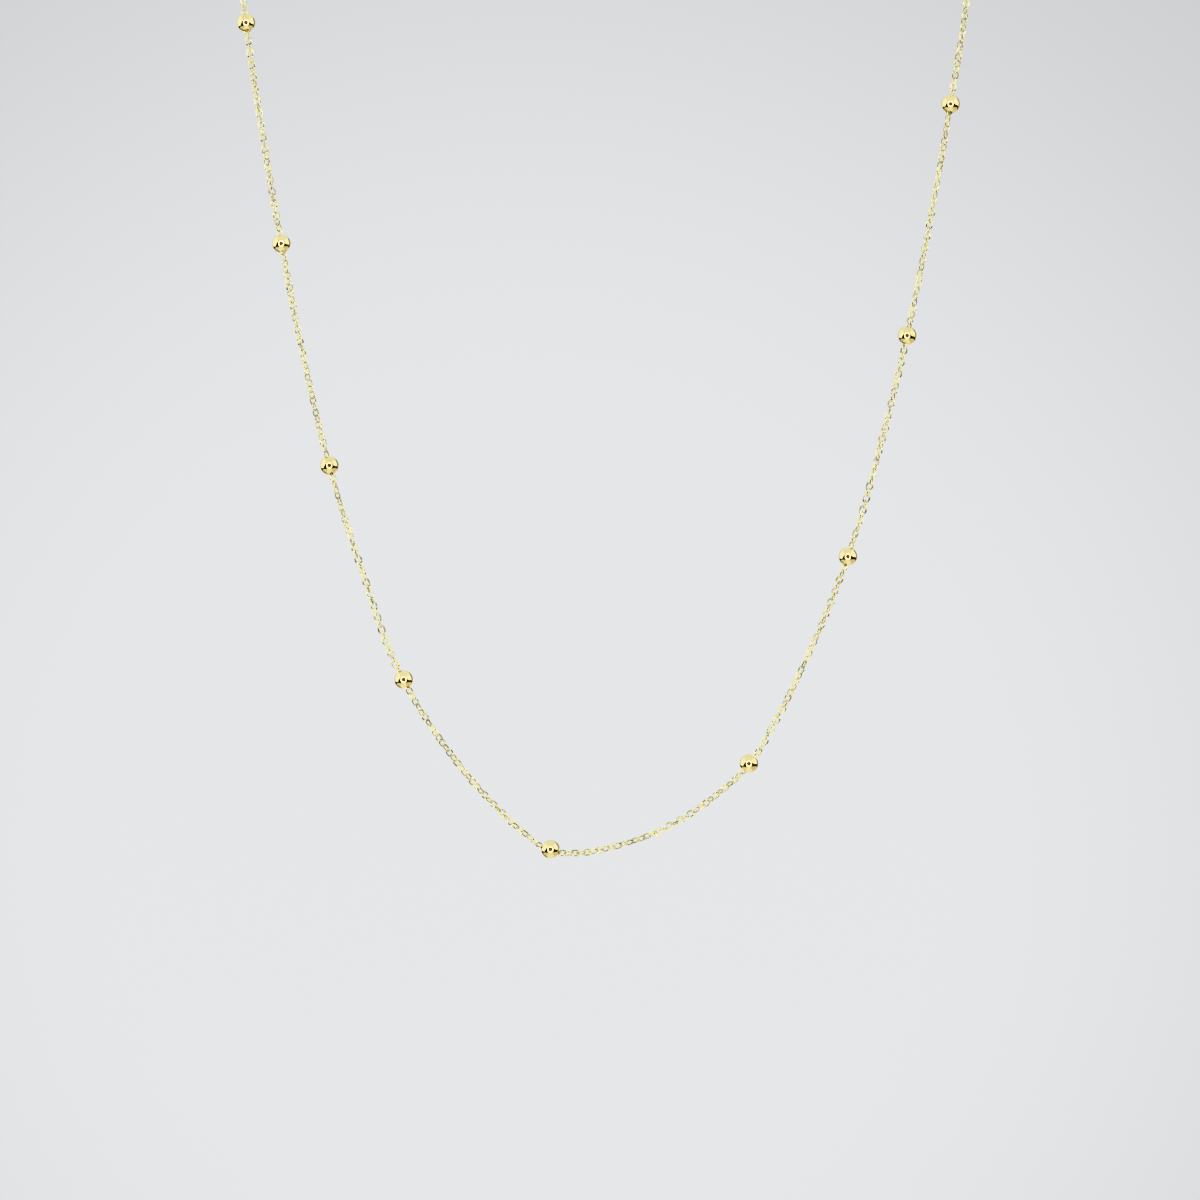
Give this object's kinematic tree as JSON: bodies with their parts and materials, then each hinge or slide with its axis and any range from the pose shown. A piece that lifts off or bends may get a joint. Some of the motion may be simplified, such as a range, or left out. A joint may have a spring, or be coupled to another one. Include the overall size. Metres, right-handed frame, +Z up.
{
  "type": "station necklace",
  "caption": "Fine cable chain necklace with small round polished beads at even stations, closed at the nape by a ring clasp and jump rings.",
  "frame": {"origin": "underside of the clasp's ring at the nape, where the back of the neck carries the necklace", "axes": "+Z up, -Y towards the wearer's front, where the chain hangs, +X to the right of a viewer who faces the wearer"},
  "size_m": [0.1018, 0.0625, 0.1495],
  "materials": {
    "chain_gold": "bright polished pale yellow gold wire",
    "bead_gold": "mirror polished pale yellow gold",
    "clasp_gold": "polished pale yellow gold"
  },
  "bodies": {
    "root": {"chain": "chain_gold", "clasp": "clasp_gold", "jump_ring_left": "clasp_gold", "jump_ring_right": "clasp_gold", "bead_01": "bead_gold", "bead_02": "bead_gold", "bead_03": "bead_gold", "bead_04": "bead_gold", "bead_05": "bead_gold", "bead_06": "bead_gold", "bead_07": "bead_gold", "bead_08": "bead_gold", "bead_09": "bead_gold", "bead_10": "bead_gold", "bead_11": "bead_gold", "bead_12": "bead_gold", "bead_13": "bead_gold", "bead_14": "bead_gold"}
  },
  "joints": []
}
